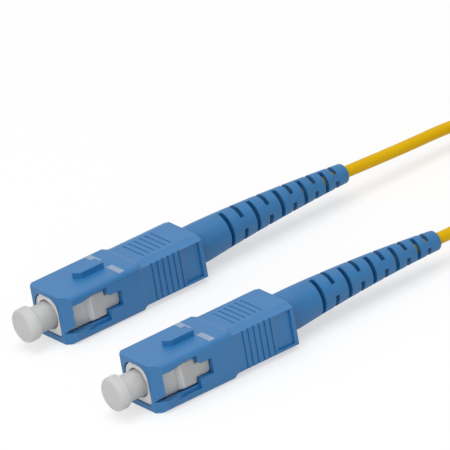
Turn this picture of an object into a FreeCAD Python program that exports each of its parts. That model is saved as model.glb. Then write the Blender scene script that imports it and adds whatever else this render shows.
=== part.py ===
import FreeCAD, Part
import math
import os
from types import SimpleNamespace

import Sketcher

# Simplex push-pull fibre patch cable: two plugs with dust caps and bend relief boots,
# and the jacketed cable between them, wound into a coil. Lengths are in millimetres.
# Each plug is drawn with its axis on X, its front face at X = 0 and its key up.

DRIVING_SIZES = [
    ("housing_width", 9.2),
    ("housing_above", 3.45),
    ("housing_below", 3.7),
    ("housing_length", 23.9),
    ("front_length", 12.9),
    ("front_radius", 0.9),
    ("step_length", 0.8),
    ("step_depth", 0.2),
    ("grip_bevel_across", 1.3),
    ("grip_bevel_rise", 0.54),
    ("nose_chamfer_long", 1.35),
    ("nose_chamfer_side", 1.35),
    ("mouth_width", 5.3),
    ("mouth_height", 5.7),
    ("mouth_radius", 1.8),
    ("channel_width", 7.2),
    ("channel_inner_width", 3.4),
    ("channel_height", 5.2),
    ("channel_start", 0.35),
    ("channel_end", 11.5),
    ("rear_bore_width", 6.6),
    ("rear_bore_height", 5.9),
    ("rear_bore_bevel", 0.9),
    ("rear_bore_start", 14.2),
    ("window_start", 1.3),
    ("window_end", 7.2),
    ("window_height", 4.1),
    ("window_tooth_bevel", 0.35),
    ("ramp_start", 3.2),
    ("ramp_full", 5.0),
    ("ramp_depth", 0.55),
    ("ramp_height", 5.0),
    ("notch_start", 0.05),
    ("notch_end", 1.45),
    ("notch_rise", 1.25),
    ("notch_floor", 3.3),
    ("slot_end", 9.5),
    ("slot_height", 2.25),
    ("key_start", 5.0),
    ("key_end", 9.5),
    ("key_width", 2.0),
    ("key_height", 0.85),
    ("key_nose", 0.7),
    ("groove_start", 15.1),
    ("top_groove_start", 15.4),
    ("groove_pitch", 0.94),
    ("groove_count", 6),
    ("groove_width", 0.28),
    ("groove_depth", 0.14),
    ("top_groove_depth", 0.08),
    ("top_groove_length", 4.8),
    ("panel_start", 19.95),
    ("panel_flat", 21.0),
    ("panel_end", 23.25),
    ("panel_depth", 0.34),
    ("panel_height", 5.2),
    ("frame_start", 0.1),
    ("frame_end", 16.5),
    ("frame_width", 5.1),
    ("frame_height", 5.5),
    ("frame_radius", 2.0),
    ("frame_foot_bevel", 0.4),
    ("frame_bore", 4.4),
    ("shoulder_start", 6.0),
    ("shoulder_end", 6.5),
    ("shoulder_bore", 3.0),
    ("tab_start", 4.6),
    ("tab_neck", 7.1),
    ("tab_end", 9.4),
    ("tab_reach", 7.6),
    ("tab_height", 3.6),
    ("tab_root_height", 4.6),
    ("tab_tail_height", 2.0),
    ("tab_round", 0.45),
    ("tab_slope", 0.35),
    ("ferrule_diameter", 2.5),
    ("ferrule_length", 10.5),
    ("ferrule_tip", 1.4),
    ("ferrule_chamfer", 0.35),
    ("flange_start", 6.55),
    ("flange_end", 9.4),
    ("flange_diameter", 4.2),
    ("flange_nose", 0.4),
    ("flange_tail_end", 12.8),
    ("flange_tail_diameter", 2.4),
    ("flange_bore", 1.1),
    ("spring_end", 14.0),
    ("spring_diameter", 3.4),
    ("spring_wire", 0.36),
    ("spring_turns", 5),
    ("stop_plug_diameter", 4.3),
    ("stop_plug_bore", 2.8),
    ("stop_plug_depth", 2.0),
    ("stop_collar_diameter", 5.6),
    ("stop_collar_end", 17.7),
    ("stop_barrel_diameter", 3.2),
    ("stop_barrel_end", 22.5),
    ("stop_bore", 1.2),
    ("yarn_start", 18.2),
    ("yarn_thickness", 0.2),
    ("sleeve_start", 18.0),
    ("sleeve_wall", 0.3),
    ("sleeve_neck_start", 23.2),
    ("sleeve_end", 25.5),
    ("buffer_start", 10.6),
    ("buffer_diameter", 0.9),
    ("cable_start", 22.9),
    ("cable_diameter", 1.7),
    ("boot_start", 18.3),
    ("boot_shank_diameter", 5.6),
    ("boot_diameter", 5.8),
    ("boot_taper_start", 26.4),
    ("boot_end", 51.5),
    ("boot_end_diameter", 2.9),
    ("boot_end_round", 0.45),
    ("boot_clearance", 0.05),
    ("boot_cable_bore", 1.9),
    ("boot_turn", -19.0),
    ("relief_start", 30.15),
    ("relief_pitch", 2.42),
    ("relief_shrink", 0.966),
    ("relief_width", 0.66),
    ("relief_floor_diameter", 1.7),
    ("relief_arc", 140.0),
    ("cap_front", 4.5),
    ("cap_head_diameter", 4.95),
    ("cap_head_thickness", 1.8),
    ("cap_front_round", 0.5),
    ("cap_back_round", 0.3),
    ("cap_neck_diameter", 3.9),
    ("cap_end", 4.4),
    ("cap_roof", 2.3),
    ("cap_clearance", 0.02),
    ("plug_spacing", 27.4),
    ("plug_stagger", 4.8),
    ("coil_centre", 67.0),
    ("coil_mean_diameter", 20.4),
    ("coil_width", 7.2),
    ("coil_height", 7.8),
    ("coil_bevel", 1.2),
    ("tie_width", 4.0),
    ("tie_thickness", 0.5),
    ("tie_bevel", 1.0),
]

RELIEF_STATIONS = 10

os.makedirs("parts", exist_ok=True)
doc = FreeCAD.newDocument("fibre_patch_cable")


class Size:
    """A length that keeps the sheet expression which it comes from."""

    def __init__(self, value, text):
        self.value = value
        self.text = text

    def __add__(self, other):
        other = as_size(other)
        return Size(self.value + other.value, f"({self.text} + {other.text})")

    def __sub__(self, other):
        other = as_size(other)
        return Size(self.value - other.value, f"({self.text} - {other.text})")

    def __mul__(self, factor):
        factor = as_size(factor)
        return Size(self.value * factor.value, f"({self.text} * {factor.text})")

    def __truediv__(self, divisor):
        divisor = as_size(divisor)
        return Size(self.value / divisor.value, f"({self.text} / {divisor.text})")

    def __neg__(self):
        return Size(-self.value, f"(-1 * {self.text})")


def as_size(number):
    """Take a plain number as a Size, and leave a Size as it is."""
    if isinstance(number, Size):
        return number
    return Size(number, f"{number}")


def fill_sheet():
    """Write the driving sizes to the sheet and return them by name."""
    sheet = doc.addObject("Spreadsheet::Sheet", "sizes")
    for row, (alias, value) in enumerate(DRIVING_SIZES, start=1):
        sheet.set(f"A{row}", alias)
        sheet.set(f"B{row}", str(value))
        sheet.setAlias(f"B{row}", alias)
    doc.recompute()
    return SimpleNamespace(**{alias: Size(value, f"sizes.{alias}") for alias, value in DRIVING_SIZES})


size = fill_sheet()
pieces = []


# Drawing helpers

def bind(target, path, length):
    """Tie a property of an object to the sheet."""
    target.setExpression(path, as_size(length).text)


def new_body(name):
    """Start a sub-part; its label names its file."""
    body = doc.addObject("PartDesign::Body", name)
    body.Label = name
    pieces.append(body)
    return body


def origin_feature(body, role):
    """Find one of a body's own origin planes or axes."""
    return next(item for item in body.Origin.OriginFeatures if item.Role == role)


def new_sketch(body, name, role, offset=None):
    """Lay a sketch on one of the body's origin planes, moved along its normal by offset."""
    sketch = body.newObject("Sketcher::SketchObject", f"{body.Name}_{name}")
    sketch.AttachmentSupport = [(origin_feature(body, role), "")]
    sketch.MapMode = "FlatFace"
    if offset is not None:
        shift = FreeCAD.Vector(0, 0, offset.value)
        sketch.AttachmentOffset = FreeCAD.Placement(shift, FreeCAD.Rotation())
        bind(sketch, "AttachmentOffset.Base.z", offset)
    return sketch


def quarter_arc(start, end):
    """Make the quarter circle that turns left from start to end."""
    step = end - start
    centre = FreeCAD.Vector((start.x + end.x - step.y) / 2, (start.y + end.y + step.x) / 2, 0)
    radius = (start - centre).Length
    begin = math.atan2(start.y - centre.y, start.x - centre.x)
    circle = Part.Circle(centre, FreeCAD.Vector(0, 0, 1), radius)
    return Part.ArcOfCircle(circle, begin, begin + math.pi / 2)


def place_point(sketch, edge, kind, value):
    """Hold the start of an edge at a distance from the sketch's origin."""
    value = as_size(value)
    if value.text == "0":
        axis = -2 if kind == "DistanceX" else -1
        sketch.addConstraint(Sketcher.Constraint("PointOnObject", edge, 1, axis))
        return
    index = sketch.addConstraint(Sketcher.Constraint(kind, -1, 1, edge, 1, value.value))
    bind(sketch, f"Constraints[{index}]", value)


def outline(sketch, corners, arcs=None):
    """Close a wire through corners; arcs gives the radius of the quarter arc after a corner."""
    arcs = arcs or {}
    first = sketch.GeometryCount
    count = len(corners)
    spots = [FreeCAD.Vector(as_size(across).value, as_size(up).value, 0) for across, up in corners]
    for index, start in enumerate(spots):
        end = spots[(index + 1) % count]
        edge = quarter_arc(start, end) if index in arcs else Part.LineSegment(start, end)
        sketch.addGeometry(edge)
    for index, (across, up) in enumerate(corners):
        edge = first + index
        following = first + (index + 1) % count
        sketch.addConstraint(Sketcher.Constraint("Coincident", edge, 2, following, 1))
        place_point(sketch, edge, "DistanceX", across)
        place_point(sketch, edge, "DistanceY", up)
    for index, radius in arcs.items():
        held = sketch.addConstraint(Sketcher.Constraint("Radius", first + index, radius.value))
        bind(sketch, f"Constraints[{held}]", radius)


def mirrored(corners):
    """Give the same corners on the other side of the sketch's first axis."""
    return [(across, -as_size(up)) for across, up in corners]


def extrude(kind, body, sketch, length, symmetric=False, reverse=False):
    """Pad or pocket a sketch over a length."""
    feature = body.newObject(f"PartDesign::{kind}", f"{sketch.Name}_{kind.lower()}")
    feature.Profile = sketch
    feature.SideType = "Symmetric" if symmetric else "One side"
    feature.Reversed = reverse
    bind(feature, "Length", length)
    return feature


def turn(kind, body, sketch, axis="X_Axis", angle=None):
    """Revolve or groove a sketch about one of the body's axes."""
    feature = body.newObject(f"PartDesign::{kind}", f"{sketch.Name}_{kind.lower()}")
    feature.Profile = sketch
    feature.ReferenceAxis = (origin_feature(body, axis), [""])
    if angle is not None:
        feature.Midplane = True
        bind(feature, "Angle", angle)
    return feature


def turned_body(name, corners, arcs=None):
    """Make a turned piece from its half section, given along X and out from the axis."""
    body = new_body(name)
    sketch = new_sketch(body, "section", "XZ_Plane")
    outline(sketch, corners, arcs)
    turn("Revolution", body, sketch)
    return body


def place(body, across, along, up, turned=None):
    """Set a sub-part down in the cable's own frame."""
    for path, value in (("x", across), ("y", along), ("z", up)):
        bind(body, f"Placement.Base.{path}", value)
    if turned is not None:
        body.Placement.Rotation = FreeCAD.Rotation(FreeCAD.Vector(1, 0, 0), turned.value)
        bind(body, "Placement.Rotation.Angle", turned)


# The blue push-pull housing

def rounded_section(sketch, half_width, below, above, radius):
    """Draw a rectangle with round corners that reaches below and above the sketch's origin."""
    corners = [
        (radius - half_width, -below), (half_width - radius, -below),
        (half_width, radius - below), (half_width, above - radius),
        (half_width - radius, above), (radius - half_width, above),
        (-half_width, above - radius), (-half_width, radius - below),
    ]
    outline(sketch, corners, {1: radius, 3: radius, 5: radius, 7: radius})


def bevelled_section(sketch, half_width, below, above, across, rise):
    """Draw a rectangle with its corners cut off that reaches below and above the sketch's origin."""
    corners = [
        (across - half_width, -below), (half_width - across, -below),
        (half_width, rise - below), (half_width, above - rise),
        (half_width - across, above), (across - half_width, above),
        (-half_width, above - rise), (-half_width, rise - below),
    ]
    outline(sketch, corners)


def arched_section(sketch, half_width, half_height, radius, bevel):
    """Draw a rectangle about the sketch's origin with round top corners and bevelled foot corners."""
    corners = [
        (bevel - half_width, -half_height), (half_width - bevel, -half_height),
        (half_width, bevel - half_height), (half_width, half_height - radius),
        (half_width - radius, half_height), (radius - half_width, half_height),
        (-half_width, half_height - radius), (-half_width, bevel - half_height),
    ]
    outline(sketch, corners, {3: radius, 5: radius})


def housing_shell(body):
    """Front block with round edges, a short ramp, and the slimmer bevelled grip behind it."""
    half_width = size.housing_width / 2
    grip_half_width = half_width - size.step_depth
    grip_below = size.housing_below - size.step_depth
    grip_above = size.housing_above - size.step_depth
    ramp_end = size.front_length + size.step_length

    front = new_sketch(body, "front", "YZ_Plane")
    rounded_section(front, half_width, size.housing_below, size.housing_above, size.front_radius)
    extrude("Pad", body, front, size.front_length)

    ramp_front = new_sketch(body, "ramp_front", "YZ_Plane", size.front_length)
    rounded_section(ramp_front, half_width, size.housing_below, size.housing_above, size.front_radius)
    ramp_back = new_sketch(body, "ramp_back", "YZ_Plane", ramp_end)
    grip_bevel = (size.grip_bevel_across, size.grip_bevel_rise)
    bevelled_section(ramp_back, grip_half_width, grip_below, grip_above, *grip_bevel)
    ramp = body.newObject("PartDesign::AdditiveLoft", f"{body.Name}_ramp")
    ramp.Profile = ramp_front
    ramp.Sections = [ramp_back]
    ramp.Ruled = True

    grip = new_sketch(body, "grip", "YZ_Plane", ramp_end)
    bevelled_section(grip, grip_half_width, grip_below, grip_above, *grip_bevel)
    extrude("Pad", body, grip, size.housing_length - ramp_end)


def housing_key(body):
    """Key on the top face, with a pointed front."""
    half_width = size.key_width / 2
    sunk = size.key_height / 2
    sketch = new_sketch(body, "key", "XY_Plane", size.housing_above - sunk)
    shoulder = size.key_start + size.key_nose
    tip = half_width - size.key_nose
    outline(sketch, [
        (size.key_start, -tip), (shoulder, -half_width), (size.key_end, -half_width),
        (size.key_end, half_width), (shoulder, half_width), (size.key_start, tip),
    ])
    extrude("Pad", body, sketch, size.key_height + sunk)


def housing_openings(body):
    """Nose chamfers, mouth, latch channels, side windows with their ramps, and the bore at the back."""
    half_width = size.housing_width / 2
    nose = new_sketch(body, "nose", "XY_Plane")
    chamfer = [
        (0, half_width - size.nose_chamfer_side), (size.nose_chamfer_long, half_width), (0, half_width),
    ]
    outline(nose, chamfer)
    outline(nose, mirrored(chamfer))
    extrude("Pocket", body, nose, size.housing_below * 4, symmetric=True)

    mouth = new_sketch(body, "mouth", "YZ_Plane")
    half_mouth = size.mouth_height / 2
    arched_section(mouth, size.mouth_width / 2, half_mouth, size.mouth_radius, size.frame_foot_bevel)
    extrude("Pocket", body, mouth, size.rear_bore_start, reverse=True)

    channel = new_sketch(body, "channel", "XY_Plane")
    inner = size.channel_inner_width / 2
    outer = size.channel_width / 2
    passage = [
        (size.channel_start, inner), (size.channel_end, inner),
        (size.channel_end, outer), (size.window_start, outer),
    ]
    outline(channel, passage)
    outline(channel, mirrored(passage))
    extrude("Pocket", body, channel, size.channel_height, symmetric=True)

    window = new_sketch(body, "window", "XZ_Plane")
    opening = size.window_height / 2
    slot = size.slot_height / 2
    tooth = size.window_tooth_bevel
    outline(window, [
        (size.window_start, -opening), (size.window_end, -opening),
        (size.window_end, -slot), (size.slot_end, -slot),
        (size.slot_end, slot), (size.window_end + tooth, slot), (size.window_end, slot + tooth),
        (size.window_end, opening), (size.window_start, opening),
    ])
    extrude("Pocket", body, window, size.housing_width * 2, symmetric=True)

    ramp = new_sketch(body, "ramp", "XY_Plane")
    wedge = [
        (size.ramp_start, half_width), (size.ramp_full, half_width - size.ramp_depth),
        (size.window_end, half_width - size.ramp_depth),
        (size.window_end, half_width + size.ramp_depth), (size.ramp_start, half_width + size.ramp_depth),
    ]
    outline(ramp, wedge)
    outline(ramp, mirrored(wedge))
    extrude("Pocket", body, ramp, size.ramp_height, symmetric=True)

    bore = new_sketch(body, "bore", "YZ_Plane", size.rear_bore_start)
    half_bore = size.rear_bore_height / 2
    bevel = size.rear_bore_bevel
    bevelled_section(bore, size.rear_bore_width / 2, half_bore, half_bore, bevel, bevel)
    extrude("Pocket", body, bore, size.housing_length, reverse=True)


def housing_notches(body):
    """Three-cornered notch at the lower back corner of the pillar in front of each window."""
    foot = -(size.window_height / 2)
    for side, outwards in (("near", False), ("far", True)):
        level = -size.notch_floor if outwards else size.notch_floor
        notch = new_sketch(body, f"{side}_notch", "XZ_Plane", level)
        outline(notch, [
            (size.notch_start, foot), (size.notch_end, foot), (size.notch_end, foot + size.notch_rise),
        ])
        extrude("Pocket", body, notch, size.housing_width, reverse=not outwards)


def housing_grip(body):
    """Finger grooves across the sides, top and bottom, and a sunk panel on each side."""
    half_width = size.housing_width / 2 - size.step_depth
    grip_below = size.housing_below - size.step_depth
    grip_above = size.housing_above - size.step_depth

    def groove(start, reach, depth):
        left = start - size.groove_width / 2
        right = start + size.groove_width / 2
        floor = reach - depth
        above = reach + depth
        return [(left, floor), (right, floor), (right, above), (left, above)]

    sides = new_sketch(body, "side_groove", "XY_Plane")
    side_groove = groove(size.groove_start, half_width, size.groove_depth)
    outline(sides, side_groove)
    outline(sides, mirrored(side_groove))
    side_cut = extrude("Pocket", body, sides, size.housing_below * 2, symmetric=True)

    faces = new_sketch(body, "face_groove", "XZ_Plane")
    outline(faces, groove(size.top_groove_start, grip_above, size.top_groove_depth))
    outline(faces, mirrored(groove(size.top_groove_start, grip_below, size.top_groove_depth)))
    face_cut = extrude("Pocket", body, faces, size.top_groove_length, symmetric=True)

    panel = new_sketch(body, "panel", "XY_Plane")
    floor = half_width - size.panel_depth
    above = half_width + size.panel_depth
    recess = [
        (size.panel_start, half_width), (size.panel_flat, floor), (size.panel_end, floor),
        (size.panel_end, above), (size.panel_start, above),
    ]
    outline(panel, recess)
    outline(panel, mirrored(recess))
    extrude("Pocket", body, panel, size.panel_height, symmetric=True)

    doc.recompute()
    row = body.newObject("PartDesign::LinearPattern", f"{body.Name}_groove_row")
    row.Originals = [side_cut, face_cut]
    row.Direction = (origin_feature(body, "X_Axis"), [""])
    bind(row, "Length", size.groove_pitch * (size.groove_count - 1))
    bind(row, "Occurrences", size.groove_count)
    body.Tip = row


def make_outer_housing(name):
    body = new_body(name)
    housing_shell(body)
    housing_key(body)
    housing_openings(body)
    housing_notches(body)
    housing_grip(body)
    return body


# The white inner frame

def make_plug_frame(name):
    """Inner body with round top corners, side tabs and a stepped bore."""
    body = new_body(name)
    core = new_sketch(body, "core", "YZ_Plane", size.frame_start)
    arched_section(
        core, size.frame_width / 2, size.frame_height / 2, size.frame_radius, size.frame_foot_bevel
    )
    extrude("Pad", body, core, size.frame_end - size.frame_start)

    tabs = new_sketch(body, "tabs", "XZ_Plane")
    half = size.tab_root_height / 2
    tail = size.tab_tail_height / 2
    corner = size.tab_end - size.tab_round
    outline(tabs, [
        (size.tab_start, -half), (size.tab_neck, -half), (size.tab_neck, -tail), (corner, -tail),
        (size.tab_end, size.tab_round - tail), (size.tab_end, tail - size.tab_round),
        (corner, tail), (size.tab_neck, tail), (size.tab_neck, half), (size.tab_start, half),
    ], {3: size.tab_round, 5: size.tab_round})
    extrude("Pad", body, tabs, size.tab_reach, symmetric=True)

    slope = new_sketch(body, "slope", "XY_Plane")
    reach = size.tab_reach / 2
    root = size.frame_width / 2
    wedge = [
        (size.tab_start, root), (size.tab_start + size.tab_slope, reach), (size.tab_start, reach),
    ]
    outline(slope, wedge)
    outline(slope, mirrored(wedge))
    extrude("Pocket", body, slope, size.frame_height, symmetric=True)

    draft = new_sketch(body, "draft", "YZ_Plane", size.tab_start)
    brow = [(root, half), (reach, size.tab_height / 2), (reach, half)]
    sill = [(across, -up) for across, up in brow]
    for taper in (brow, sill):
        outline(draft, taper)
        outline(draft, [(-across, up) for across, up in taper])
    extrude("Pocket", body, draft, size.tab_neck - size.tab_start, reverse=True)

    bore = new_sketch(body, "bore", "XZ_Plane")
    wide = size.frame_bore / 2
    narrow = size.shoulder_bore / 2
    outline(bore, [
        (0, 0), (size.frame_end * 2, 0), (size.frame_end * 2, wide), (size.shoulder_end, wide),
        (size.shoulder_end, narrow), (size.shoulder_start, narrow), (size.shoulder_start, wide), (0, wide),
    ])
    turn("Groove", body, bore)
    return body


# The turned pieces on the axis

def make_ferrule(name):
    radius = size.ferrule_diameter / 2
    tip = -size.ferrule_tip
    end = size.ferrule_length - size.ferrule_tip
    return turned_body(name, [
        (tip, 0), (end, 0), (end, radius),
        (tip + size.ferrule_chamfer, radius), (tip, radius - size.ferrule_chamfer),
    ])


def make_ferrule_flange(name):
    """Collar pressed on the back of the ferrule, with a tail tube for the fibre."""
    hole = size.ferrule_diameter / 2
    seat = size.ferrule_length - size.ferrule_tip
    collar = size.flange_diameter / 2
    tail = size.flange_tail_diameter / 2
    bore = size.flange_bore / 2
    return turned_body(name, [
        (size.flange_start, hole), (seat, hole), (seat, bore), (size.flange_tail_end, bore),
        (size.flange_tail_end, tail), (size.flange_end, tail), (size.flange_end, collar),
        (size.flange_start + size.flange_nose, collar), (size.flange_start, collar - size.flange_nose),
    ])


def make_spring(name):
    """Compression spring of square wire between the flange and the stop."""
    body = new_body(name)
    sketch = new_sketch(body, "wire", "XZ_Plane")
    inner = size.spring_diameter / 2 - size.spring_wire / 2
    outer = size.spring_diameter / 2 + size.spring_wire / 2
    front = size.flange_end
    back = size.flange_end + size.spring_wire
    outline(sketch, [(front, inner), (back, inner), (back, outer), (front, outer)])
    coil = body.newObject("PartDesign::AdditiveHelix", f"{name}_coil")
    coil.Profile = sketch
    coil.ReferenceAxis = (origin_feature(body, "X_Axis"), [""])
    coil.Mode = "height-turns-angle"
    bind(coil, "Height", size.spring_end - size.flange_end - size.spring_wire)
    bind(coil, "Turns", size.spring_turns)
    return body


def make_spring_stop(name):
    """Turned stop: plug in the frame, collar against its back face, barrel for the crimp."""
    plug = size.stop_plug_diameter / 2
    collar = size.stop_collar_diameter / 2
    barrel = size.stop_barrel_diameter / 2
    well = size.stop_plug_bore / 2
    bore = size.stop_bore / 2
    floor = size.spring_end + size.stop_plug_depth
    return turned_body(name, [
        (size.spring_end, well), (floor, well), (floor, bore), (size.stop_barrel_end, bore),
        (size.stop_barrel_end, barrel), (size.stop_collar_end, barrel),
        (size.stop_collar_end, collar), (size.frame_end, collar),
        (size.frame_end, plug), (size.spring_end, plug),
    ])


def make_aramid_yarn(name):
    inner = size.stop_barrel_diameter / 2
    outer = inner + size.yarn_thickness
    return turned_body(name, [
        (size.yarn_start, inner), (size.stop_barrel_end, inner),
        (size.stop_barrel_end, outer), (size.yarn_start, outer),
    ])


def make_crimp_sleeve(name):
    """Sleeve over the yarn, necked down onto the cable's jacket."""
    inner = size.stop_barrel_diameter / 2 + size.yarn_thickness
    outer = inner + size.sleeve_wall
    jacket = size.cable_diameter / 2
    neck = jacket + size.sleeve_wall
    cone = size.sleeve_neck_start - size.yarn_thickness * 2
    return turned_body(name, [
        (size.sleeve_start, inner), (cone, inner), (size.sleeve_neck_start, jacket),
        (size.sleeve_end, jacket), (size.sleeve_end, neck), (size.sleeve_neck_start, neck),
        (cone, outer), (size.sleeve_start, outer),
    ])


def make_fibre_buffer(name):
    radius = size.buffer_diameter / 2
    return turned_body(name, [
        (size.buffer_start, 0), (size.cable_start, 0),
        (size.cable_start, radius), (size.buffer_start, radius),
    ])


def make_cable_end(name):
    radius = size.cable_diameter / 2
    return turned_body(name, [
        (size.cable_start, 0), (size.boot_end, 0), (size.boot_end, radius), (size.cable_start, radius),
    ])


def make_dust_cap(name):
    """Mushroom cap: a round head on a sleeve that covers the ferrule."""
    front = -size.cap_front
    back = size.cap_head_thickness - size.cap_front
    head = size.cap_head_diameter / 2
    neck = size.cap_neck_diameter / 2
    hole = size.ferrule_diameter / 2 + size.cap_clearance
    roof = size.cap_roof - size.cap_front
    corners = [
        (front, 0), (roof, 0), (roof, hole), (size.cap_end, hole), (size.cap_end, neck), (back, neck),
        (back, head - size.cap_back_round), (back - size.cap_back_round, head),
        (front + size.cap_front_round, head), (front, head - size.cap_front_round),
    ]
    return turned_body(name, corners, {6: size.cap_back_round, 8: size.cap_front_round})


# The bend relief boot

def relief_station(index):
    """Place of one relief slot along the boot; each gap is a little shorter than the last."""
    travelled = sum(size.relief_shrink.value ** step for step in range(index))
    return size.relief_start + size.relief_pitch * travelled


def cut_reliefs(body, name, plane, stations):
    """Cut pairs of arc slots on opposite sides of the boot at the given stations."""
    sketch = new_sketch(body, name, plane)
    floor = size.relief_floor_diameter / 2
    for station in stations:
        front = station - size.relief_width / 2
        back = station + size.relief_width / 2
        slot = [(front, floor), (back, floor), (back, size.boot_diameter), (front, size.boot_diameter)]
        outline(sketch, slot)
        outline(sketch, mirrored(slot))
    turn("Groove", body, sketch, angle=size.relief_arc)


def make_boot(name):
    """Tapered boot with a shank in the housing, and slots set crosswise by turns."""
    sleeve = size.stop_barrel_diameter / 2 + size.yarn_thickness + size.sleeve_wall + size.boot_clearance
    neck = size.cable_diameter / 2 + size.sleeve_wall + size.boot_clearance
    bore = size.boot_cable_bore / 2
    shank = size.boot_shank_diameter / 2
    root = size.boot_diameter / 2
    tail = size.boot_end_diameter / 2
    corners = [
        (size.boot_start, sleeve), (size.sleeve_neck_start + size.sleeve_wall, sleeve),
        (size.sleeve_neck_start + size.sleeve_wall * 4, neck), (size.sleeve_end + size.sleeve_wall, neck),
        (size.sleeve_end + size.sleeve_wall * 2, bore), (size.boot_end, bore),
        (size.boot_end, tail - size.boot_end_round), (size.boot_end - size.boot_end_round, tail),
        (size.boot_taper_start, root), (size.housing_length, root), (size.housing_length, shank),
        (size.boot_start, shank),
    ]
    body = turned_body(name, corners, {6: size.boot_end_round})
    stations = [relief_station(index) for index in range(RELIEF_STATIONS)]
    cut_reliefs(body, "side_reliefs", "XY_Plane", stations[0::2])
    cut_reliefs(body, "face_reliefs", "XZ_Plane", stations[1::2])
    return body


# The two plugs, set side by side with the near one a little forward

PLUG_PIECES = {
    "outer_housing": make_outer_housing,
    "plug_frame": make_plug_frame,
    "ferrule": make_ferrule,
    "ferrule_flange": make_ferrule_flange,
    "spring": make_spring,
    "spring_stop": make_spring_stop,
    "aramid_yarn": make_aramid_yarn,
    "crimp_sleeve": make_crimp_sleeve,
    "fibre_buffer": make_fibre_buffer,
    "cable_end": make_cable_end,
    "boot": make_boot,
    "dust_cap": make_dust_cap,
}

far_front = (size.plug_stagger + size.cap_front - size.boot_end) / 2
PLUG_PLACES = {
    "a": (far_front, size.plug_spacing / 2),
    "b": (far_front - size.plug_stagger, -(size.plug_spacing / 2)),
}

for suffix, (plug_front, plug_side) in PLUG_PLACES.items():
    for piece, make_piece in PLUG_PIECES.items():
        body = make_piece(f"{piece}_{suffix}")
        turned = size.boot_turn if piece == "boot" else None
        place(body, plug_front, plug_side, size.housing_below, turned)


# The free cable: a lead from each boot to the coil, and the coil with its tie

boot_exit = {suffix: plug_front + size.boot_end for suffix, (plug_front, _) in PLUG_PLACES.items()}
LEAD_ROUTES = {
    "a": [
        (boot_exit["a"].value, 13.7, 3.7), (40.0, 13.7, 3.4), (50.0, 14.0, 2.75),
        (59.0, 13.3, 1.75), (67.0, 12.95, 1.35),
    ],
    "b": [
        (boot_exit["b"].value, -13.7, 3.7), (36.5, -13.7, 3.5), (47.5, -13.8, 4.1),
        (57.8, -13.3, 5.8), (67.0, -12.95, 6.45),
    ],
}
ARC_SHARE = 0.45


def rounded_path(points):
    """Join straight runs by tangent arcs as large as the runs allow; return wire and radii."""
    spots = [FreeCAD.Vector(*point) for point in points]
    edges = []
    radii = []
    start = spots[0]
    for before, corner, after in zip(spots, spots[1:], spots[2:]):
        back = (before - corner).normalize()
        ahead = (after - corner).normalize()
        reach = ARC_SHARE * min((before - corner).Length, (after - corner).Length)
        half_turn = (math.pi - back.getAngle(ahead)) / 2
        radius = reach / math.tan(half_turn)
        enter = corner + back * reach
        leave = corner + ahead * reach
        inward = (back + ahead).normalize()
        middle = corner + inward * (radius / math.cos(half_turn) - radius)
        edges.append(Part.LineSegment(start, enter).toShape())
        edges.append(Part.Arc(enter, middle, leave).toShape())
        radii.append(radius)
        start = leave
    edges.append(Part.LineSegment(start, spots[-1]).toShape())
    return Part.Wire(edges), radii


def make_cable_lead(suffix):
    """Plain tube along the stretch of cable between a boot and the coil."""
    path, radii = rounded_path(LEAD_ROUTES[suffix])
    radius = size.cable_diameter.value / 2
    points = LEAD_ROUTES[suffix]
    heading = FreeCAD.Vector(*points[1]) - FreeCAD.Vector(*points[0])
    section = Part.Wire(Part.Circle(FreeCAD.Vector(*points[0]), heading, radius).toShape())
    lead = doc.addObject("Part::Feature", f"cable_lead_{suffix}")
    lead.Label = f"cable_lead_{suffix}"
    lead.Shape = path.makePipeShell([section], True, True)
    pieces.append(lead)
    expected = math.pi * radius ** 2 * path.Length
    print(lead.Label, "length", round(path.Length, 2), "radii", [round(value, 1) for value in radii])
    print(lead.Label, "volume", round(lead.Shape.Volume, 3), "section times length", round(expected, 3))


def make_cable_coil(name):
    """Outer shape of the coiled cable: a ring of bevelled section."""
    body = new_body(name)
    sketch = new_sketch(body, "section", "XZ_Plane")
    inner = size.coil_mean_diameter / 2 - size.coil_width / 2
    outer = size.coil_mean_diameter / 2 + size.coil_width / 2
    bevel = size.coil_bevel
    outline(sketch, [
        (inner + bevel, 0), (outer - bevel, 0), (outer, bevel), (outer, size.coil_height - bevel),
        (outer - bevel, size.coil_height), (inner + bevel, size.coil_height),
        (inner, size.coil_height - bevel), (inner, bevel),
    ])
    turn("Revolution", body, sketch, axis="Z_Axis")
    place(body, size.coil_centre, 0, 0)


def make_coil_tie(name):
    """Flat strap wrapped once round the bundle of turns, on the side away from the plugs."""
    body = new_body(name)
    sketch = new_sketch(body, "strap", "XZ_Plane")
    half_height = size.coil_height / 2
    half_width = size.coil_width / 2
    inner_height = half_height - size.tie_thickness
    outer_width = half_width + size.tie_thickness
    bevelled_section(sketch, outer_width, half_height, half_height, size.tie_bevel, size.tie_bevel)
    bevelled_section(sketch, half_width, inner_height, inner_height, size.tie_bevel, size.tie_bevel)
    extrude("Pad", body, sketch, size.tie_width, symmetric=True)
    place(body, size.coil_centre + size.coil_mean_diameter / 2, 0, half_height)


for suffix in LEAD_ROUTES:
    make_cable_lead(suffix)
make_cable_coil("cable_coil")
make_coil_tie("coil_tie")


# Check every object, then write one file for each sub-part

doc.recompute()
failed = [item.Label for item in doc.Objects if {"Invalid", "Error"} & set(item.State)]
bad = [piece.Label for piece in pieces if piece.Shape.isNull() or not piece.Shape.isValid()]
if failed or bad:
    raise RuntimeError(f"failed objects {failed}, bad shapes {bad}")
for piece in pieces:
    print(piece.Label, "solids", len(piece.Shape.Solids), "volume", round(piece.Shape.Volume, 3))
    piece.Shape.exportStep(f"parts/{piece.Label}.step")
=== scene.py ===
import math

import bmesh
import bpy
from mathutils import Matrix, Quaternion, Vector
from mathutils.geometry import intersect_point_line


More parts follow.
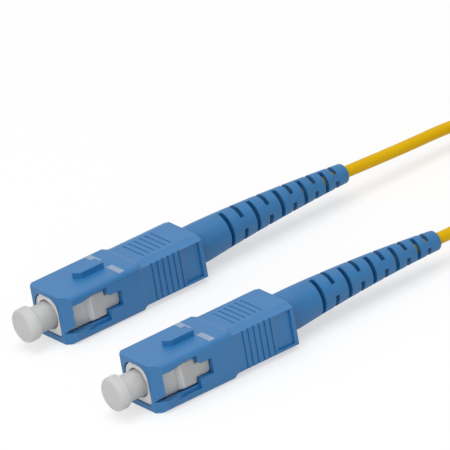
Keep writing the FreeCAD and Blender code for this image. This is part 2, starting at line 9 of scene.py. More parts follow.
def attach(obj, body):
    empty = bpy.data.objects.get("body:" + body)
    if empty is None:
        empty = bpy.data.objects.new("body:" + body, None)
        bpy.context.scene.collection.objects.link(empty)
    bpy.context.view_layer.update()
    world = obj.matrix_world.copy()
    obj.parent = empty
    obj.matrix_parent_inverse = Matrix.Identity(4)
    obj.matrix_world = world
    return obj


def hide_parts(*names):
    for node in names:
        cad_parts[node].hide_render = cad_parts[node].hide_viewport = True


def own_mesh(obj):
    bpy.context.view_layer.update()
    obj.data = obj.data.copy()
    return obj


# Simplex fibre patch cable: two blue push-pull plugs with dust caps, and one yellow cable
# between them. Blender's lengths are metres; values that are multiplied by MM are millimetres.

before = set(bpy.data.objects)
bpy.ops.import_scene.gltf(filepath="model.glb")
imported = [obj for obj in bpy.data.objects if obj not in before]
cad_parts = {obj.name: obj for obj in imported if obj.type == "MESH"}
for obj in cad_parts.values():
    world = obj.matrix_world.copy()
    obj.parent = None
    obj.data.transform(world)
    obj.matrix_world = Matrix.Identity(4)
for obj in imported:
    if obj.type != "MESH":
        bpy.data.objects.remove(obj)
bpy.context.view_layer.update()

MM = 0.001
ENDS = ("a", "b")
AXIS_HEIGHT = 3.7
PLUG_SIDE = 13.7
PLUG_FRONT = {
    "a": Vector((-21.1, PLUG_SIDE, AXIS_HEIGHT)),
    "b": Vector((-25.9, -PLUG_SIDE, AXIS_HEIGHT)),
}


# Camera

CAMERA_AZIMUTH = math.radians(-32.298)
CAMERA_ELEVATION = math.radians(25.641)
CAMERA_ROLL = math.radians(-10.163)
CAMERA_TARGET = Vector((2.661, 2.582, 10.764)) * MM
CAMERA_DISTANCE = 2.0515
CAMERA_LENS = 1200.0
CAMERA_SENSOR = 36.0


def make_camera():
    """Long lens at the photograph's angle."""
    data = bpy.data.cameras.new("camera")
    data.lens = CAMERA_LENS
    data.sensor_width = CAMERA_SENSOR
    camera = bpy.data.objects.new("camera", data)
    level = math.cos(CAMERA_ELEVATION)
    back = Vector((
        math.sin(CAMERA_AZIMUTH) * level,
        -math.cos(CAMERA_AZIMUTH) * level,
        math.sin(CAMERA_ELEVATION),
    ))
    camera.location = CAMERA_TARGET + back * CAMERA_DISTANCE
    camera.rotation_mode = "QUATERNION"
    aim = (-back).to_track_quat("-Z", "Y")
    camera.rotation_quaternion = aim @ Quaternion((0, 0, 1), CAMERA_ROLL)
    bpy.context.collection.objects.link(camera)
    bpy.context.scene.camera = camera


make_camera()


# Node helpers

def add_sockets(tree, inputs, outputs):
    """Give a node tree its named inputs, with defaults, and its named outputs."""
    for label, kind, default in inputs:
        socket = tree.interface.new_socket(label, in_out="INPUT", socket_type=kind)
        if default is not None:
            socket.default_value = default
    for label, kind in outputs:
        tree.interface.new_socket(label, in_out="OUTPUT", socket_type=kind)
    return tree.nodes.new("NodeGroupInput"), tree.nodes.new("NodeGroupOutput")


def add_node(tree, kind, inputs=None, **settings):
    """Add a node with the given properties, and link or set its inputs by name or number."""
    node = tree.nodes.new(kind)
    for key, value in settings.items():
        setattr(node, key, value)
    for key, value in (inputs or {}).items():
        if isinstance(value, bpy.types.NodeSocket):
            tree.links.new(value, node.inputs[key])
        else:
            node.inputs[key].default_value = value
    return node


def math_node(tree, operation, *values):
    """Add a Math node on the given values and return its result."""
    node = add_node(tree, "ShaderNodeMath", dict(enumerate(values)), operation=operation)
    return node.outputs[0]


# Shader groups

GRAIN_SCALE = 9000.0
GRAIN_DETAIL = 3.0
GRAIN_ROUGHNESS = 0.6
GRAIN_SHARE = 0.35
DRIFT_SCALE = 260.0
DRIFT_DETAIL = 4.0
DRIFT_ROUGHNESS = 0.55
PLAIN_ROUGHNESS = 0.45
PLAIN_SPREAD = 0.1
PLAIN_BUMP = 0.04
THREADS_PER_METRE = 3600.0
NAP_SHARE = 0.5
NAP_SCALE = 5200.0
NAP_DETAIL = 4.0


def moulded_surface_group():
    """Fine moulding grain over a slow drift: a tone from 0 to 1, a roughness and a height."""
    group = bpy.data.node_groups.new("moulded_surface", "ShaderNodeTree")
    given, result = add_sockets(
        group,
        [
            ("Grain Scale", "NodeSocketFloat", GRAIN_SCALE),
            ("Drift Scale", "NodeSocketFloat", DRIFT_SCALE),
            ("Roughness", "NodeSocketFloat", PLAIN_ROUGHNESS),
            ("Roughness Spread", "NodeSocketFloat", PLAIN_SPREAD),
        ],
        [
            ("Tone", "NodeSocketFloat"),
            ("Roughness", "NodeSocketFloat"),
            ("Height", "NodeSocketFloat"),
        ],
    )
    spot = group.nodes.new("ShaderNodeTexCoord").outputs["Object"]
    grain = add_node(group, "ShaderNodeTexNoise", {
        "Vector": spot, "Scale": given.outputs["Grain Scale"],
        "Detail": GRAIN_DETAIL, "Roughness": GRAIN_ROUGHNESS,
    }).outputs["Fac"]
    drift = add_node(group, "ShaderNodeTexNoise", {
        "Vector": spot, "Scale": given.outputs["Drift Scale"],
        "Detail": DRIFT_DETAIL, "Roughness": DRIFT_ROUGHNESS,
    }).outputs["Fac"]
    fine = math_node(group, "MULTIPLY", grain, GRAIN_SHARE)
    slow = math_node(group, "MULTIPLY", drift, 1.0 - GRAIN_SHARE)
    tone = math_node(group, "ADD", fine, slow)
    from_middle = math_node(group, "SUBTRACT", tone, 0.5)
    shift = math_node(group, "MULTIPLY", from_middle, given.outputs["Roughness Spread"])
    rough = math_node(group, "ADD", shift, given.outputs["Roughness"])
    group.links.new(tone, result.inputs["Tone"])
    group.links.new(rough, result.inputs["Roughness"])
    group.links.new(grain, result.inputs["Height"])
    return group


def woven_tape_group():
    """Plain weave on Object coordinates with a brushed nap: a tone and a height."""
    group = bpy.data.node_groups.new("woven_tape", "ShaderNodeTree")
    given, result = add_sockets(
        group,
        [
            ("Threads per Metre", "NodeSocketFloat", THREADS_PER_METRE),
            ("Nap", "NodeSocketFloat", NAP_SHARE),
        ],
        [("Tone", "NodeSocketFloat"), ("Height", "NodeSocketFloat")],
    )
    spot = group.nodes.new("ShaderNodeTexCoord").outputs["Object"]
    turns = math_node(group, "MULTIPLY", given.outputs["Threads per Metre"], math.pi)
    axes = add_node(group, "ShaderNodeSeparateXYZ", {"Vector": spot})
    along = math_node(group, "ADD", axes.outputs["Z"], axes.outputs["X"])
    warp = math_node(group, "SINE", math_node(group, "MULTIPLY", axes.outputs["Y"], turns))
    weft = math_node(group, "SINE", math_node(group, "MULTIPLY", along, turns))
    crossing = math_node(group, "MULTIPLY", warp, weft)
    weave = math_node(group, "MULTIPLY_ADD", crossing, 0.5, 0.5)
    nap = add_node(group, "ShaderNodeTexNoise", {
        "Vector": spot, "Scale": NAP_SCALE, "Detail": NAP_DETAIL,
    }).outputs["Fac"]
    brushed = add_node(group, "ShaderNodeMix", {0: given.outputs["Nap"], 2: weave, 3: nap})
    for label in ("Tone", "Height"):
        group.links.new(brushed.outputs[0], result.inputs[label])
    return group


MOULDED_SURFACE = moulded_surface_group()
WOVEN_TAPE = woven_tape_group()


# Materials

RAMP_PLACES = (0.3, 0.7)
BUMP_REACH = 0.05
STRAP_ROUGHNESS = 0.9
STRAP_SHEEN = 0.3
EVEN_SCATTER = (1.0, 1.0, 1.0)


def start_material(name, shade):
    """New material with only a Principled shader and its output."""
    material = bpy.data.materials.new(name)
    material.use_nodes = True
    material.diffuse_color = (*shade, 1.0)
    return material, material.node_tree, material.node_tree.nodes["Principled BSDF"]


def colour_surface(tree, shader, tone, dark, light):
    """Base colour that runs from dark to light as the tone rises through its middle."""
    ramp = add_node(tree, "ShaderNodeValToRGB", {"Fac": tone})
    for element, place, colour in zip(ramp.color_ramp.elements, RAMP_PLACES, (dark, light)):
        element.position = place
        element.color = (*colour, 1.0)
    tree.links.new(ramp.outputs["Color"], shader.inputs["Base Color"])


def raise_surface(tree, shader, height, strength):
    bump = add_node(tree, "ShaderNodeBump", {
        "Strength": strength, "Distance": BUMP_REACH * MM, "Height": height,
    })
    tree.links.new(bump.outputs["Normal"], shader.inputs["Normal"])


def moulded_finish(
    name, dark, light, grain=GRAIN_SCALE, roughness=PLAIN_ROUGHNESS, spread=PLAIN_SPREAD,
    bump=PLAIN_BUMP, **shader_values,
):
    """Moulded, extruded or turned surface whose tone drifts between two near colours."""
    material, tree, shader = start_material(name, light)
    surface = add_node(tree, "ShaderNodeGroup", node_tree=MOULDED_SURFACE)
    surface.inputs["Grain Scale"].default_value = grain
    surface.inputs["Roughness"].default_value = roughness
    surface.inputs["Roughness Spread"].default_value = spread
    colour_surface(tree, shader, surface.outputs["Tone"], dark, light)
    tree.links.new(surface.outputs["Roughness"], shader.inputs["Roughness"])
    raise_surface(tree, shader, surface.outputs["Height"], bump)
    for label, value in shader_values.items():
        shader.inputs[label.replace("_", " ")].default_value = value
    return material


def strap_finish(name, dark, light, nap, bump):
    """Hook-and-loop tape: a plain weave under brushed loops."""
    material, tree, shader = start_material(name, light)
    weave = add_node(tree, "ShaderNodeGroup", node_tree=WOVEN_TAPE)
    weave.inputs["Nap"].default_value = nap
    colour_surface(tree, shader, weave.outputs["Tone"], dark, light)
    raise_surface(tree, shader, weave.outputs["Height"], bump)
    shader.inputs["Roughness"].default_value = STRAP_ROUGHNESS
    shader.inputs["Sheen Weight"].default_value = STRAP_SHEEN
    return material


BLUE_SHELL = moulded_finish(
    "blue_moulded_shell", (0.006, 0.152, 0.392), (0.010, 0.166, 0.420),
    roughness=0.48, spread=0.12, Specular_IOR_Level=0.8,
)
BLUE_BOOT = moulded_finish(
    "blue_soft_boot", (0.006, 0.143, 0.364), (0.010, 0.157, 0.392),
    grain=7000.0, roughness=0.52, spread=0.12, bump=0.08, Specular_IOR_Level=0.7,
)
WHITE_FRAME = moulded_finish(
    "white_moulded_frame", (0.83, 0.82, 0.80), (0.87, 0.86, 0.84),
    roughness=0.38, Subsurface_Weight=0.6, Subsurface_Scale=0.0015,
    Subsurface_Radius=EVEN_SCATTER,
)
MILKY_CAP = moulded_finish(
    "milky_soft_cap", (0.80, 0.80, 0.785), (0.84, 0.84, 0.825),
    grain=5000.0, roughness=0.7, bump=0.05, Subsurface_Weight=1.0, Subsurface_Scale=0.002,
    Subsurface_Radius=EVEN_SCATTER, Transmission_Weight=0.5,
)
YELLOW_JACKET = moulded_finish(
    "yellow_cable_jacket", (0.72, 0.425, 0.001), (0.78, 0.475, 0.002),
    grain=6000.0, roughness=0.42, spread=0.12, bump=0.06, Specular_IOR_Level=0.12,
)
# Painted shade: a darker, rougher copy of the yellow jacket for its length inside the boot, seen
# through the slots
SHADED_JACKET_IN_BOOT = moulded_finish(
    "painted_shade_jacket_in_boot", (0.42, 0.25, 0.004), (0.48, 0.29, 0.006),
    grain=6000.0, roughness=0.6, spread=0.12, bump=0.06, Specular_IOR_Level=0.1,
)
INDEX_PRINT = moulded_finish(
    "pale_index_print", (0.265, 0.36, 0.495), (0.305, 0.40, 0.535),
    grain=12000.0, roughness=0.6, bump=0.1,
)
WHITE_CERAMIC = moulded_finish(
    "polished_ceramic", (0.78, 0.77, 0.74), (0.82, 0.815, 0.79),
    roughness=0.12, spread=0.05, bump=0.0,
)
TURNED_STEEL = moulded_finish(
    "turned_steel", (0.50, 0.50, 0.51), (0.60, 0.60, 0.61),
    grain=5000.0, roughness=0.28, Metallic=1.0,
)
TURNED_ALUMINIUM = moulded_finish(
    "turned_aluminium", (0.66, 0.66, 0.67), (0.74, 0.74, 0.75),
    grain=5000.0, roughness=0.32, Metallic=1.0,
)
PLATED_SLEEVE = moulded_finish(
    "plated_sleeve", (0.62, 0.60, 0.55), (0.70, 0.68, 0.63),
    grain=5000.0, roughness=0.3, Metallic=1.0,
)
ARAMID = moulded_finish(
    "aramid_strands", (0.60, 0.44, 0.08), (0.72, 0.56, 0.14),
    grain=4000.0, roughness=0.7, bump=0.3,
)
FIBRE_BUFFER = moulded_finish(
    "white_fibre_buffer", (0.74, 0.74, 0.72), (0.80, 0.80, 0.78), roughness=0.4,
)
BLACK_STRAP = strap_finish(
    "black_strap_loops", (0.008, 0.008, 0.009), (0.035, 0.035, 0.037), nap=0.55, bump=0.9,
)
STRAP_THREAD = moulded_finish(
    "strap_thread", (0.016, 0.016, 0.018), (0.05, 0.05, 0.052),
    grain=12000.0, roughness=0.75, bump=0.3,
)

# Painted shade on the frames' outermost faces: where it starts and where it is full, in
# millimetres from each plug's axis, and how dark it gets
SHADE_START = 3.72
SHADE_FULL = 3.78
PAINTED_SHADE_TONE = 0.62


def paint_shade_on_outer_faces(material):
    """Painted shade: darken the outermost faces of each frame, its latch tabs, as if shaded by
    the housing's window walls.
    """
    tree = material.node_tree
    colour_input = tree.nodes["Principled BSDF"].inputs["Base Color"]
    moulded = colour_input.links[0].from_socket
    spot = tree.nodes.new("ShaderNodeTexCoord").outputs["Object"]
    across = add_node(tree, "ShaderNodeSeparateXYZ", {"Vector": spot}).outputs["Y"]
    outward = math_node(tree, "ABSOLUTE", across)
    from_axis = math_node(tree, "ABSOLUTE", math_node(tree, "SUBTRACT", outward, PLUG_SIDE * MM))
    shade_mask = add_node(tree, "ShaderNodeMapRange", {
        "Value": from_axis, "From Min": SHADE_START * MM, "From Max": SHADE_FULL * MM,
    }).outputs["Result"]
    painted_shade = add_node(tree, "ShaderNodeMix", {
        0: shade_mask, 6: moulded, 7: (PAINTED_SHADE_TONE, PAINTED_SHADE_TONE, PAINTED_SHADE_TONE, 1.0),
    }, data_type="RGBA", blend_type="MULTIPLY")
    tree.links.new(painted_shade.outputs[2], colour_input)


# Painted shade on the frames' latch tabs
paint_shade_on_outer_faces(WHITE_FRAME)


# CAD pieces that only get a finish

NODE_FINISHES = {
    "ferrule_flange": TURNED_STEEL,
    "spring_stop": TURNED_ALUMINIUM,
    "aramid_yarn": ARAMID,
    "crimp_sleeve": PLATED_SLEEVE,
    "fibre_buffer": FIBRE_BUFFER,
}


def set_finish(piece, material):
    piece.data.materials.clear()
    piece.data.materials.append(material)


for end in ENDS:
    for node_name, finish in NODE_FINISHES.items():
        set_finish(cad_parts[f"{node_name}_{end}"], finish)


# Dressed pieces: each takes the place of its CAD solid, with joined faces and softened edges

MERGE_REACH = 0.001
FLAT_ANGLE = math.radians(0.5)
EDGE_ANGLE = math.radians(28.0)
FACET_ANGLE = math.radians(9.0)
CREASE_ANGLE = math.radians(2.0)
SQUARE_FACE = 0.9999
SHORTEST_EDGE = 0.6
EDGE_CLEARANCE = 2.4
EDGE_STEPS = 2
EDGE_PROFILE = 0.5
HOUSING_EDGE = 0.07
FRAME_EDGE = 0.07
BOOT_EDGE = 0.04
BOW_START = 26.0
BOW_END = 51.5
BOW_STEP = 2
BOW_RISE = 0.33
BOW_TIP = {"a": 0.12, "b": -0.06}
TOP_HEIGHT = 3.45
KEY_CORNERS = {(5.0, 0.3): (5.05, 0.1), (5.7, 1.0): (5.95, 1.0), (9.5, 1.0): (9.7, 1.0)}
KEY_SLACK = 0.01


def joined_copy(node_name):
    """Copy of a CAD node's mesh with its loose triangles joined and its flat faces made whole."""
    work = bmesh.new()
    work.from_mesh(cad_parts[node_name].data)
    bmesh.ops.remove_doubles(work, verts=work.verts, dist=MERGE_REACH * MM)
    bmesh.ops.dissolve_limit(work, angle_limit=FLAT_ANGLE, verts=work.verts, edges=work.edges)
    return work


def point_key(work, end):
    """Draw the key's nose to a finer point and set its back a little further back."""
    front = PLUG_FRONT[end]
    for vertex in work.verts:
        along, across, height = vertex.co / MM - front
        if height < TOP_HEIGHT - KEY_SLACK:
            continue
        for (old_along, old_across), (new_along, new_across) in KEY_CORNERS.items():
            if math.hypot(along - old_along, abs(across) - old_across) < KEY_SLACK:
                vertex.co.x = (front.x + new_along) * MM
                vertex.co.y = (front.y + math.copysign(new_across, across)) * MM


def bow(along, tip):
    """Rise of a boot's axis in millimetres, by the distance behind the plug's front."""
    share = (along - BOW_START) / (BOW_END - BOW_START)
    if share <= 0.0:
        return 0.0
    return BOW_RISE * 4.0 * share * (1.0 - share) + tip * share ** 3


def bend_upwards(work, end):
    """Bow the mesh upwards behind the plug, cutting long faces so that they follow."""
    front, tip = PLUG_FRONT[end], BOW_TIP[end]
    for station in range(int(BOW_START), int(BOW_END) + 1, BOW_STEP):
        bmesh.ops.bisect_plane(
            work, geom=work.verts[:] + work.edges[:] + work.faces[:], dist=MERGE_REACH * MM,
            plane_co=(front + Vector((station, 0, 0))) * MM, plane_no=(1, 0, 0),
        )
    for vertex in work.verts:
        vertex.co.z += bow(vertex.co.x / MM - front.x, tip) * MM


def distance_to(edge, spot):
    start, end = (vertex.co for vertex in edge.verts)
    share = intersect_point_line(spot, start, end)[1]
    return (start.lerp(end, min(max(share, 0.0), 1.0)) - spot).length


def stands_clear(edge, reach):
    """Whether an edge keeps away from the other lines of its two faces."""
    for face in edge.link_faces:
        for other in face.edges:
            touching = set(other.verts) & set(edge.verts)
            if touching or other.calc_face_angle(0.0) < CREASE_ANGLE:
                continue
            gaps = [distance_to(other, vertex.co) for vertex in edge.verts]
            gaps += [distance_to(edge, vertex.co) for vertex in other.verts]
            if min(gaps) < reach:
                return False
    return True


def soften_edges(work, width):
    """Break the outward corners that have room for it, as a mould's edge does."""
    reach = EDGE_CLEARANCE * width * MM
    corners = [
        edge for edge in work.edges
        if edge.is_convex and edge.calc_face_angle(0.0) > EDGE_ANGLE
        and edge.calc_length() > SHORTEST_EDGE * MM and stands_clear(edge, reach)
    ]
    bmesh.ops.bevel(
        work, geom=corners, offset=width * MM, offset_type="OFFSET", segments=EDGE_STEPS,
        profile=EDGE_PROFILE, affect="EDGES", clamp_overlap=False,
    )


def add_piece(name, work, material):
    """Object from a finished mesh, smooth over its roundings only."""
    mesh = bpy.data.meshes.new(name)
    work.to_mesh(mesh)
    work.free()
    imported_normals = mesh.attributes.get("custom_normal")
    if imported_normals:
        mesh.attributes.remove(imported_normals)
    for polygon in mesh.polygons:
        polygon.use_smooth = max(abs(part) for part in polygon.normal) < SQUARE_FACE
    mesh.set_sharp_from_angle(angle=FACET_ANGLE)
    piece = bpy.data.objects.new(name, mesh)
    bpy.context.collection.objects.link(piece)
    set_finish(piece, material)
    return piece


def dress(piece_name, end, body, material, edge=0.0, keyed=False, bowed=False):
    """Stand a finished piece in for one of a plug's CAD nodes."""
    node_name = f"{piece_name}_{end}"
    work = joined_copy(node_name)
    if keyed:
        point_key(work, end)
    if edge:
        soften_edges(work, edge)
    if bowed:
        bend_upwards(work, end)
    piece = add_piece(f"dressed_{node_name}", work, material)
    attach(piece, body)
    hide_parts(node_name)
    return piece


def make_spring(end):
    """Spring, dressed like the other pieces and given a mesh of its own."""
    spring = dress("spring", end, "cable", TURNED_STEEL)
    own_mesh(spring)


for end in ENDS:
    make_spring(end)
    dress(
        "outer_housing", end, f"housing_{end}", BLUE_SHELL,
        edge=HOUSING_EDGE, keyed=True,
    )
    dress("plug_frame", end, "cable", WHITE_FRAME, edge=FRAME_EDGE)
    dress("boot", end, "cable", BLUE_BOOT, edge=BOOT_EDGE, bowed=True)
    # the cable's end inside the boot takes the painted-shade copy of the jacket
    dress("cable_end", end, "cable", SHADED_JACKET_IN_BOOT, bowed=True)
    dress("dust_cap", end, f"cap_{end}", MILKY_CAP)
    dress("ferrule", end, f"ferrule_{end}", WHITE_CERAMIC)


# Printed index marks on the housings' tops

MARK_START = 9.85
MARK_LENGTH = 1.0
MARK_INNER = 1.2
MARK_OUTER = 4.1
MARK_RISE = 0.012
MARK_POINTS_ALONG = 4
MARK_POINTS_ACROSS = 30
TOP_FLAT = 3.7
TOP_RADIUS = 0.9


def index_mark_tree():
    """Two thin pads, one each side of the key, that follow the top face onto its round edges."""
    tree = bpy.data.node_groups.new("index_marks", "GeometryNodeTree")
    given, result = add_sockets(
        tree,
        [
            ("Centre", "NodeSocketVector", None),
            ("Length", "NodeSocketFloat", MARK_LENGTH * MM),
            ("Inner Edge", "NodeSocketFloat", MARK_INNER * MM),
            ("Outer Edge", "NodeSocketFloat", MARK_OUTER * MM),
            ("Flat Half Width", "NodeSocketFloat", TOP_FLAT * MM),
            ("Edge Radius", "NodeSocketFloat", TOP_RADIUS * MM),
            ("Rise", "NodeSocketFloat", MARK_RISE * MM),
            ("Material", "NodeSocketMaterial", None),
        ],
        [("Geometry", "NodeSocketGeometry")],
    )
    inner, outer = given.outputs["Inner Edge"], given.outputs["Outer Edge"]
    radius = given.outputs["Edge Radius"]
    pad = add_node(tree, "GeometryNodeMeshGrid", {
        "Size X": given.outputs["Length"], "Size Y": math_node(tree, "SUBTRACT", outer, inner),
        "Vertices X": MARK_POINTS_ALONG, "Vertices Y": MARK_POINTS_ACROSS,
    })
    middle = math_node(tree, "MULTIPLY", math_node(tree, "ADD", inner, outer), 0.5)
    spot = tree.nodes.new("GeometryNodeInputPosition").outputs[0]
    across = add_node(tree, "ShaderNodeSeparateXYZ", {"Vector": spot}).outputs["Y"]
    reach = math_node(tree, "ADD", across, middle)
    past_flat = math_node(tree, "SUBTRACT", reach, given.outputs["Flat Half Width"])
    over = math_node(tree, "MAXIMUM", past_flat, 0.0)
    radius_squared = math_node(tree, "MULTIPLY", radius, radius)
    over_squared = math_node(tree, "MULTIPLY", over, over)
    left = math_node(tree, "SQRT", math_node(tree, "SUBTRACT", radius_squared, over_squared))
    drop = math_node(tree, "SUBTRACT", radius, left)
    height = math_node(tree, "SUBTRACT", given.outputs["Rise"], drop)
    shift = add_node(tree, "ShaderNodeCombineXYZ", {"Y": middle, "Z": height})
    laid = add_node(tree, "GeometryNodeSetPosition", {
        "Geometry": pad.outputs["Mesh"], "Offset": shift.outputs[0],
    })
    sides = add_node(tree, "GeometryNodePoints", {"Count": 2})
    side = tree.nodes.new("GeometryNodeInputIndex").outputs[0]
    half_turn = add_node(tree, "ShaderNodeCombineXYZ", {
        "Z": math_node(tree, "MULTIPLY", side, math.pi),
    })
    facing = add_node(tree, "FunctionNodeEulerToRotation", {"Euler": half_turn.outputs[0]})
    pair = add_node(tree, "GeometryNodeInstanceOnPoints", {
        "Points": sides.outputs[0], "Instance": laid.outputs[0], "Rotation": facing.outputs[0],
    })
    placed = add_node(tree, "GeometryNodeTransform", {
        "Geometry": pair.outputs[0], "Translation": given.outputs["Centre"],
    })
    whole = add_node(tree, "GeometryNodeRealizeInstances", {"Geometry": placed.outputs[0]})
    inked = add_node(tree, "GeometryNodeSetMaterial", {
        "Geometry": whole.outputs[0], "Material": given.outputs["Material"],
    })
    tree.links.new(inked.outputs[0], result.inputs["Geometry"])
    return tree


def grown_piece(name, tree, values):
    """Plain mesh piece from a geometry node tree and its named inputs."""
    piece = bpy.data.objects.new(name, bpy.data.meshes.new(name))
    bpy.context.collection.objects.link(piece)
    grow = piece.modifiers.new("grow", "NODES")
    grow.node_group = tree
    for item in tree.interface.items_tree:
        if item.in_out == "INPUT" and item.name in values:
            grow[item.identifier] = values[item.name]
    grown = piece.evaluated_get(bpy.context.evaluated_depsgraph_get())
    mesh = bpy.data.meshes.new_from_object(grown)
    piece.modifiers.remove(grow)
    piece.data = mesh
    return piece


INDEX_MARKS = index_mark_tree()
for end in ENDS:
    centre = (PLUG_FRONT[end] + Vector((MARK_START + MARK_LENGTH / 2, 0, TOP_HEIGHT))) * MM
    marks = grown_piece(f"index_marks_{end}", INDEX_MARKS, {
        "Centre": centre, "Material": INDEX_PRINT,
    })
    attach(marks, f"housing_{end}")


# The cable: out of the far boot, through the coil and back into the near boot

CABLE_DIAMETER = 1.7
CABLE_STEPS = 6
CABLE_ROUNDNESS = 6
LEAD_A = [
    (30.4, 13.7, 3.82), (40.0, 13.7, 3.35), (50.0, 14.0, 3.1),
    (59.0, 13.3, 1.75), (67.0, 12.95, 1.35),
]
LEAD_B = [
    (25.6, -13.7, 3.64), (36.5, -13.7, 3.5), (47.5, -13.8, 4.1),
    (57.8, -13.3, 5.8), (67.0, -12.95, 6.45),
]
COIL_CENTRE_X = 67.0
COIL_OUTER_TURN = 12.95
COIL_INNER_TURN = 7.45
COIL_LAYERS = (1.35, 3.05, 4.75, 6.45)
TURNS_PER_LAYER = 3.25
CLIMB_TURNS = 1.0 / 6.0
POINTS_PER_TURN = 16


def ease(share):
    return share * share * (3.0 - 2.0 * share)


def coil_points():
    """Control points of the coil: flat spirals in and out by turns, with short climbs between."""
    flare = 1.0 / math.cos(math.pi / POINTS_PER_TURN)
    stage = TURNS_PER_LAYER + CLIMB_TURNS
    total = len(COIL_LAYERS) * TURNS_PER_LAYER + (len(COIL_LAYERS) - 1) * CLIMB_TURNS
    points = []
    for step in range(1, round(total * POINTS_PER_TURN)):
        turned = step / POINTS_PER_TURN
        layer = min(int(turned / stage), len(COIL_LAYERS) - 1)
        within = turned - layer * stage
        along = min(within / TURNS_PER_LAYER, 1.0)
        start, end = COIL_OUTER_TURN, COIL_INNER_TURN
        if layer % 2:
            start, end = end, start
        radius = (start + (end - start) * along) * flare
        height = COIL_LAYERS[layer]
        if within > TURNS_PER_LAYER:
            rise = COIL_LAYERS[layer + 1] - height
            height += rise * ease((within - TURNS_PER_LAYER) / CLIMB_TURNS)
        angle = math.pi / 2 - turned * 2 * math.pi
        across, outward = radius * math.sin(angle), radius * math.cos(angle)
        points.append((COIL_CENTRE_X + outward, across, height))
    return points


def make_cable():
    """One smooth NURBS line from boot to boot, as thick as the jacket."""
    route = LEAD_A + coil_points() + LEAD_B[::-1]
    data = bpy.data.curves.new("cable", "CURVE")
    data.dimensions = "3D"
    spline = data.splines.new("NURBS")
    spline.points.add(len(route) - 1)
    for point, spot in zip(spline.points, route):
        point.co = (*(Vector(spot) * MM), 1.0)
    spline.order_u = 3
    spline.use_endpoint_u = True
    spline.resolution_u = CABLE_STEPS
    data.bevel_depth = CABLE_DIAMETER * MM / 2
    data.bevel_resolution = CABLE_ROUNDNESS
    cable = bpy.data.objects.new("cable", data)
    bpy.context.collection.objects.link(cable)
    data.materials.append(YELLOW_JACKET)
    return cable


# The strap round the coil: a band, and its loose end pressed down over it

STRAP_EDGE = 0.16
STRAP_OUTER_X = 81.3
TAIL_LOW = 1.5
TAIL_HIGH = 6.3
TAIL_HALF_WIDTH = 1.9
TAIL_THICKNESS = 0.45
TAIL_EDGE_FALL = 0.35
TAIL_TIP_SQUARE = 0.12
TAIL_SUNK = 0.05
TAIL_COLUMNS = 10
TAIL_ROWS = 16
STITCH_COUNT = 7
STITCH_PITCH = 0.5
STITCH_HEIGHT = 5.6
STITCH_SIZE = Vector((0.16, 0.38, 0.16))
STITCH_SEGMENTS = 8
STITCH_RINGS = 6


def strap_stitch_tree():
    """Row of short thread stitches along a line."""
    tree = bpy.data.node_groups.new("strap_stitches", "GeometryNodeTree")
    given, result = add_sockets(
        tree,
        [
            ("Start", "NodeSocketVector", None),
            ("Step", "NodeSocketVector", None),
            ("Count", "NodeSocketInt", STITCH_COUNT),
            ("Stitch", "NodeSocketVector", None),
            ("Material", "NodeSocketMaterial", None),
        ],
        [("Geometry", "NodeSocketGeometry")],
    )
    row = add_node(tree, "GeometryNodeMeshLine", {
        "Count": given.outputs["Count"], "Start Location": given.outputs["Start"],
        "Offset": given.outputs["Step"],
    })
    bead = add_node(tree, "GeometryNodeMeshUVSphere", {
        "Segments": STITCH_SEGMENTS, "Rings": STITCH_RINGS, "Radius": 0.5,
    })
    sewn = add_node(tree, "GeometryNodeInstanceOnPoints", {
        "Points": row.outputs[0], "Instance": bead.outputs[0], "Scale": given.outputs["Stitch"],
    })
    whole = add_node(tree, "GeometryNodeRealizeInstances", {"Geometry": sewn.outputs[0]})
    smooth = add_node(tree, "GeometryNodeSetShadeSmooth", {"Geometry": whole.outputs[0]})
    dyed = add_node(tree, "GeometryNodeSetMaterial", {
        "Geometry": smooth.outputs[0], "Material": given.outputs["Material"],
    })
    tree.links.new(dyed.outputs[0], result.inputs["Geometry"])
    return tree


def make_strap_tail():
    """Loose end of the strap: a padded tongue with a round tip, thicker in its middle."""
    work = bmesh.new()
    grid = []
    for row in range(TAIL_ROWS + 1):
        height = TAIL_LOW + (TAIL_HIGH - TAIL_LOW) * (row / TAIL_ROWS)
        tip = max(0.0, 1.0 - (height - TAIL_LOW) / TAIL_HALF_WIDTH)
        half_width = TAIL_HALF_WIDTH * math.sqrt(max(1.0 - tip * tip, TAIL_TIP_SQUARE))
        line = []
        for column in range(TAIL_COLUMNS + 1):
            side = column / TAIL_COLUMNS * 2.0 - 1.0
            crown = 1.0 - TAIL_EDGE_FALL * side ** 4
            out = STRAP_OUTER_X + TAIL_THICKNESS * crown
            line.append(work.verts.new(Vector((out, side * half_width, height)) * MM))
        grid.append(line)
    for lower, upper in zip(grid, grid[1:]):
        for left in range(TAIL_COLUMNS):
            right = left + 1
            work.faces.new((lower[left], lower[right], upper[right], upper[left]))
    rim = [edge for edge in work.edges if edge.is_boundary]
    skirt = bmesh.ops.extrude_edge_only(work, edges=rim)
    for item in skirt["geom"]:
        if isinstance(item, bmesh.types.BMVert):
            item.co.x = (STRAP_OUTER_X - TAIL_SUNK) * MM
    hem = [edge for edge in work.edges if edge.is_boundary]
    bmesh.ops.contextual_create(work, geom=hem)
    bmesh.ops.recalc_face_normals(work, faces=work.faces)
    return add_piece("strap_tail", work, BLACK_STRAP)


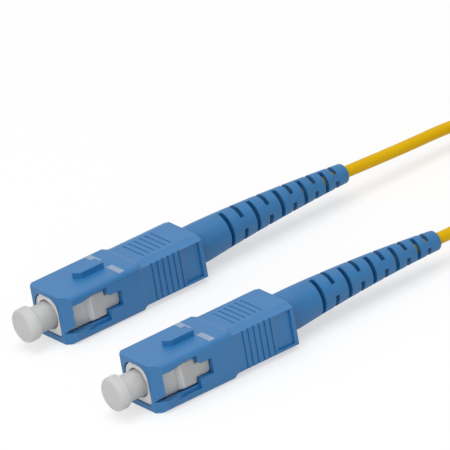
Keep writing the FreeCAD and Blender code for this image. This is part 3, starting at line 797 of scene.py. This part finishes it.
def make_strap():
    """Dress the coil's tie and lay the tail and its stitches on it."""
    work = joined_copy("coil_tie")
    soften_edges(work, STRAP_EDGE)
    band = add_piece("strap_band", work, BLACK_STRAP)
    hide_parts("coil_tie")
    tail = make_strap_tail()
    first_stitch = -(STITCH_COUNT - 1) / 2 * STITCH_PITCH
    start = Vector((STRAP_OUTER_X + TAIL_THICKNESS, first_stitch, STITCH_HEIGHT))
    stitches = grown_piece("strap_stitches", strap_stitch_tree(), {
        "Start": start * MM,
        "Step": Vector((0, STITCH_PITCH, 0)) * MM,
        "Stitch": STITCH_SIZE * MM,
        "Material": STRAP_THREAD,
    })
    parts = [band, tail, stitches]
    for piece in parts:
        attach(piece, "cable")
    return parts


cable = make_cable()
strap = make_strap()
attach(cable, "cable")
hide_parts("cable_lead_a", "cable_coil", "cable_lead_b")


# Floor, light and background

FLOOR_HALF = 4.0
FLOOR_LEVEL = -0.02
FLOOR_TONE = 0.74
FLOOR_SEEN_TONE = 0.45
FLOOR_GLOW = 0.56
SKY_STRENGTH = 0.48
LAMPS = {
    "overhead_softbox": {"spot": (-0.1, 0.0, 0.9), "across": 0.8, "watts": 4.4},
    "front_softbox": {"spot": (-0.75, -0.6, 0.4), "across": 0.7, "watts": 2.5},
}


def seen_directly(tree):
    """Value that is 1 where a camera, glossy or transmission ray looks."""
    path = tree.nodes.new("ShaderNodeLightPath").outputs
    direct = math_node(tree, "MAXIMUM", path["Is Camera Ray"], path["Is Glossy Ray"])
    return math_node(tree, "MAXIMUM", direct, path["Is Transmission Ray"])


def make_floor():
    """Pale floor that looks white and keeps the object's shadow."""
    mesh = bpy.data.meshes.new("floor")
    half, level = FLOOR_HALF, FLOOR_LEVEL * MM
    corners = [(-half, -half), (half, -half), (half, half), (-half, half)]
    mesh.from_pydata([(*corner, level) for corner in corners], [], [(0, 1, 2, 3)])
    floor = bpy.data.objects.new("floor", mesh)
    bpy.context.collection.objects.link(floor)
    material = bpy.data.materials.new("pale_floor")
    material.use_nodes = True
    tree = material.node_tree
    tree.nodes.clear()
    seen = seen_directly(tree)
    tone = math_node(tree, "MULTIPLY_ADD", seen, FLOOR_SEEN_TONE - FLOOR_TONE, FLOOR_TONE)
    matte = add_node(tree, "ShaderNodeBsdfDiffuse", {"Color": tone})
    strength = math_node(tree, "MULTIPLY", seen, FLOOR_GLOW)
    glow = add_node(tree, "ShaderNodeEmission", {"Strength": strength})
    both = add_node(tree, "ShaderNodeAddShader", {0: matte.outputs[0], 1: glow.outputs[0]})
    add_node(tree, "ShaderNodeOutputMaterial", {"Surface": both.outputs[0]})
    mesh.materials.append(material)


def make_world():
    """Even sky, white where it is seen and dimmer where it lights."""
    world = bpy.data.worlds.new("studio")
    bpy.context.scene.world = world
    world.use_nodes = True
    tree = world.node_tree
    sky = tree.nodes["Background"]
    sky.inputs["Color"].default_value = (1.0, 1.0, 1.0, 1.0)
    seen = seen_directly(tree)
    strength = math_node(tree, "MULTIPLY_ADD", seen, 1.0 - SKY_STRENGTH, SKY_STRENGTH)
    tree.links.new(strength, sky.inputs["Strength"])


def make_lamp(name, spot, across, watts):
    """Square soft lamp that faces the plugs."""
    data = bpy.data.lights.new(name, "AREA")
    data.size = across
    data.energy = watts
    lamp = bpy.data.objects.new(name, data)
    lamp.location = spot
    lamp.rotation_mode = "QUATERNION"
    lamp.rotation_quaternion = (-Vector(spot)).to_track_quat("-Z", "Y")
    bpy.context.collection.objects.link(lamp)


make_floor()
make_world()
for lamp_name, lamp_values in LAMPS.items():
    make_lamp(lamp_name, **lamp_values)
bpy.context.scene.view_settings.view_transform = "Standard"
